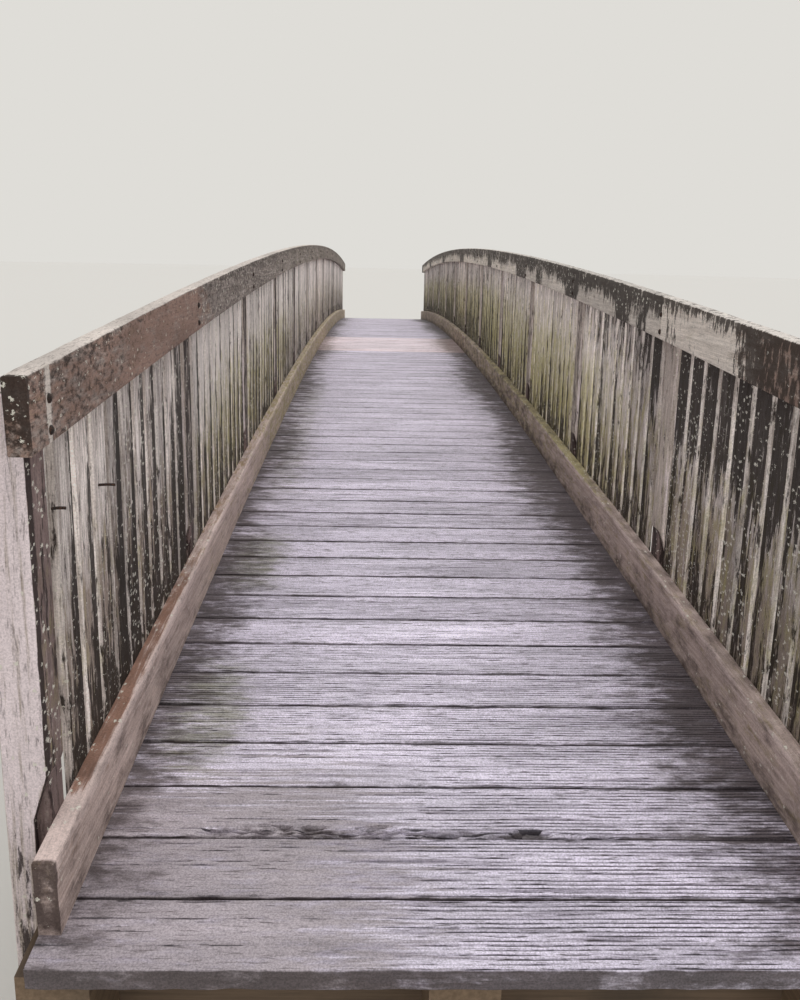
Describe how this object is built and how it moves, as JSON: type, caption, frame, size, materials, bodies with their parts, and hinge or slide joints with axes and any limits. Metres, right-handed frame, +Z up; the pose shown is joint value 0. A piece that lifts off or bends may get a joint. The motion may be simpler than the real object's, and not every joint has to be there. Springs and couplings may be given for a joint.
{
  "type": "wooden footbridge",
  "caption": "Shallow arched timber footbridge with a boarded deck, kerbs, close pales and plank handrails on both sides.",
  "frame": {"origin": "centre of the bridge, on the level ground under its two bearing sills", "axes": "+Y along the walkway, away from the end shown in the foreground; +X to the right; +Z up"},
  "size_m": [2.1, 22.1556, 2.362],
  "materials": {
    "beam_timber": "weathered sawn timber, matte",
    "splice_steel": "dull galvanised steel plate",
    "sill_timber": "damp dark timber, matte",
    "deck_timber": "wet grooved boards, satin",
    "newer_deck_timber": "newer boards, satin",
    "kerb_timber": "worn planed timber, matte",
    "rail_timber": "weathered timber with dark algae, matte",
    "post_timber": "weathered sawn timber, matte",
    "pale_timber": "weathered sawn timber with lichen, matte"
  },
  "bodies": {
    "root": {"left_beam": "beam_timber", "centre_beam": "beam_timber", "right_beam": "beam_timber", "beam_blocking": "beam_timber", "beam_splices": "splice_steel", "near_sill": "sill_timber", "far_sill": "sill_timber", "deck_boards_1": "deck_timber", "deck_boards_2": "deck_timber", "deck_boards_3": "deck_timber", "deck_boards_4": "deck_timber", "deck_boards_5": "deck_timber", "deck_boards_6": "deck_timber", "newer_deck_boards": "newer_deck_timber", "left_kerb": "kerb_timber", "right_kerb": "kerb_timber", "left_rail": "rail_timber", "right_rail": "rail_timber", "left_posts": "post_timber", "right_posts": "post_timber", "left_pales_01": "pale_timber", "left_pales_02": "pale_timber", "left_pales_03": "pale_timber", "left_pales_04": "pale_timber", "left_pales_05": "pale_timber", "left_pales_06": "pale_timber", "left_pales_07": "pale_timber", "left_pales_08": "pale_timber", "left_pales_09": "pale_timber", "left_pales_10": "pale_timber", "left_pales_11": "pale_timber", "left_pales_12": "pale_timber", "right_pales_01": "pale_timber", "right_pales_02": "pale_timber", "right_pales_03": "pale_timber", "right_pales_04": "pale_timber", "right_pales_05": "pale_timber", "right_pales_06": "pale_timber", "right_pales_07": "pale_timber", "right_pales_08": "pale_timber", "right_pales_09": "pale_timber", "right_pales_10": "pale_timber", "right_pales_11": "pale_timber", "right_pales_12": "pale_timber"}
  },
  "joints": []
}
